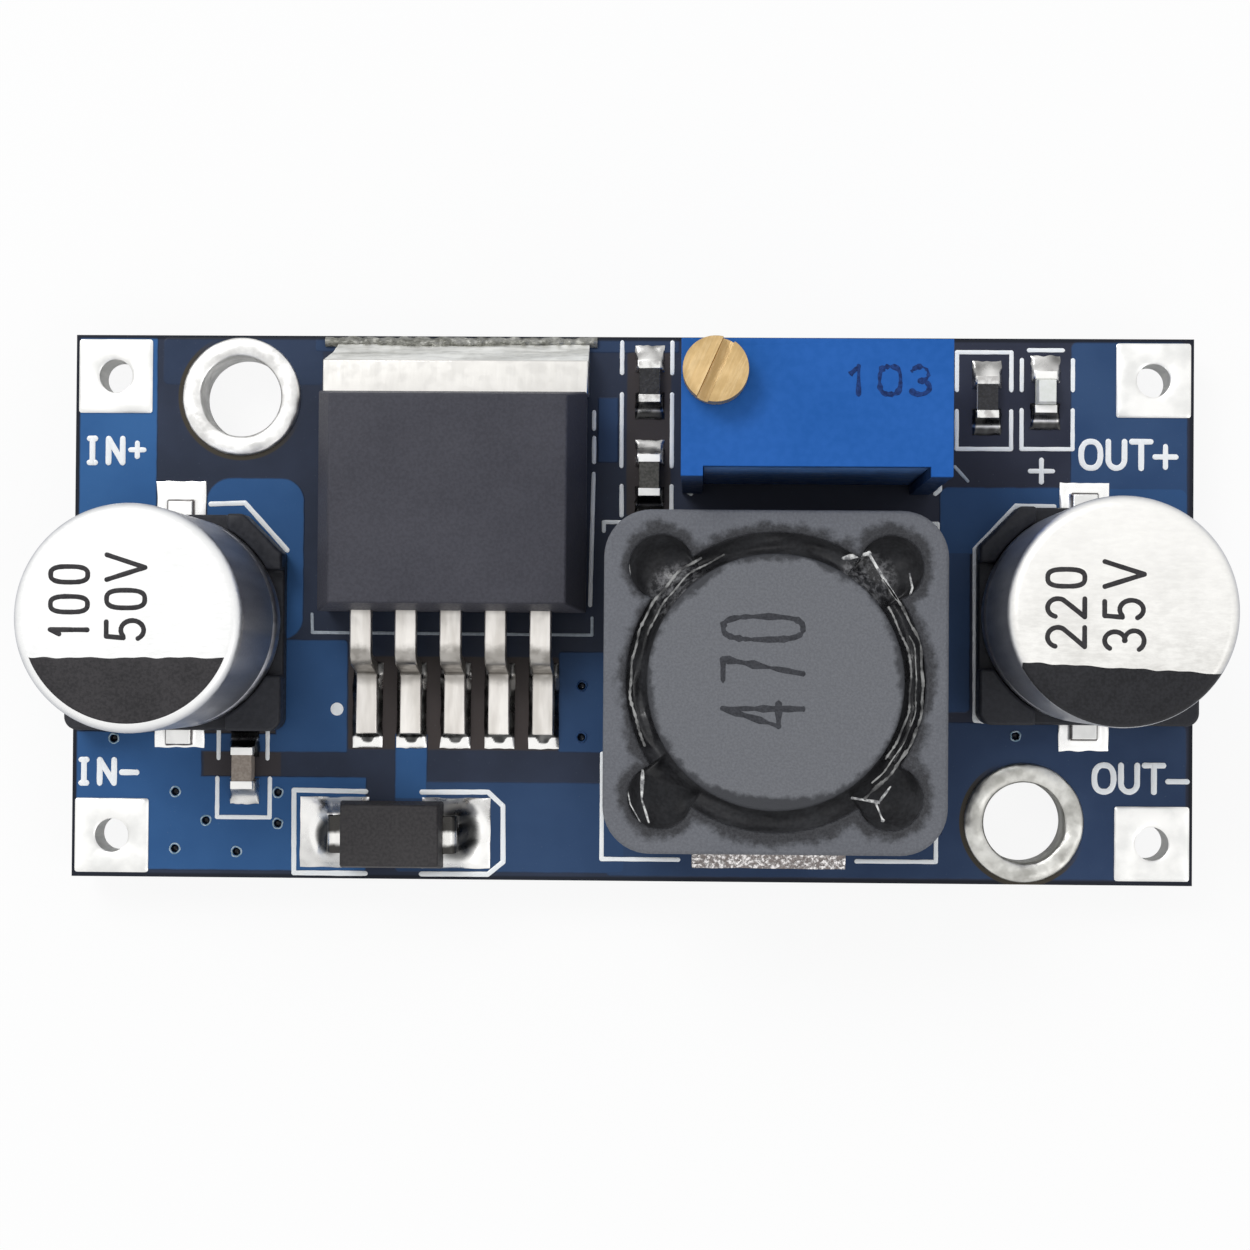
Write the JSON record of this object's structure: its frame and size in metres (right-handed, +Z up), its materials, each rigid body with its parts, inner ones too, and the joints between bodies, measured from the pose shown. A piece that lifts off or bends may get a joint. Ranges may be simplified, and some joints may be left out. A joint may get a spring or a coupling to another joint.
{
  "type": "buck converter module",
  "caption": "Small step-down converter circuit board with regulator, shielded inductor, can capacitors, diode and a screw-adjusted trimmer that sets the output voltage.",
  "frame": {"origin": "board centre in plan, on the surface that the trimmer's clipped pins stand on", "axes": "+X along the board from input to output, +Y from the diode's edge to the trimmer's edge, +Z up out of the component side"},
  "size_m": [0.0432, 0.021, 0.0138],
  "materials": {
    "solder_mask": "blue lacquer over glass laminate",
    "tinned_metal": "bright tin",
    "masked_vias": "lacquered metal",
    "solder": "bright solder",
    "can_aluminium": "drawn and coated",
    "base_plastic": "moulded",
    "mould_compound": "fine satin",
    "ferrite": "sintered, matt grey",
    "enamelled_wire": "clear enamel on copper",
    "black_glue": "cured resin, glossy",
    "blue_plastic": "moulded",
    "dark_resin": "cast resin",
    "alumina": "fired ceramic, bare",
    "brass": "turned, worn bright",
    "black_rubber": "moulded",
    "white_plastic": "moulded",
    "spring_bronze": "rolled strip",
    "glass_coat": "printed glass coat",
    "tan_ceramic": "fired ceramic",
    "white_laminate": "laminate",
    "pale_resin": "clear pale resin"
  },
  "bodies": {
    "module": {"circuit_board": "solder_mask", "wire_pads": "tinned_metal", "mounting_rings": "tinned_metal", "component_lands": "tinned_metal", "trimmer_lands": "tinned_metal", "via_rings": "masked_vias", "solder_fillets": "solder", "trimmer_solder": "solder", "input_capacitor_can": "can_aluminium", "input_capacitor_base": "base_plastic", "input_capacitor_leads": "tinned_metal", "output_capacitor_can": "can_aluminium", "output_capacitor_base": "base_plastic", "output_capacitor_leads": "tinned_metal", "regulator_body": "mould_compound", "regulator_tab": "tinned_metal", "regulator_leads": "tinned_metal", "diode_body": "mould_compound", "diode_terminals": "tinned_metal", "inductor_shield": "ferrite", "inductor_drum": "ferrite", "inductor_winding": "enamelled_wire", "inductor_base": "base_plastic", "inductor_terminals": "tinned_metal", "inductor_adhesive": "black_glue", "trimmer_housing": "blue_plastic", "trimmer_sealant": "dark_resin", "trimmer_plate": "alumina", "trimmer_pins": "tinned_metal", "trimmer_o_ring": "black_rubber", "resistor_bodies": "alumina", "resistor_coats": "glass_coat", "resistor_ends": "tinned_metal", "ceramic_bodies": "tan_ceramic", "ceramic_ends": "tinned_metal", "led_base": "white_laminate", "led_lens": "pale_resin", "led_ends": "tinned_metal"},
    "screw": {"trimmer_screw": "brass"},
    "carriage": {"trimmer_carriage": "white_plastic", "trimmer_wiper": "spring_bronze"}
  },
  "joints": [
    {"name": "screw_turn", "type": "hinge", "parent": "module", "child": "screw", "pos_m": [0.00315, 0.00809, 0.013], "axis": [0, 0, 1], "range_deg": [-4500, 4500]},
    {"name": "carriage_slide", "type": "slide", "parent": "module", "child": "carriage", "axis": [0, 0, 1], "range_m": [-0.003, 0.003]}
  ],
  "couplings": [
    {"joint": "screw_turn", "follows": "carriage_slide", "rad_per_m": -26100}
  ]
}
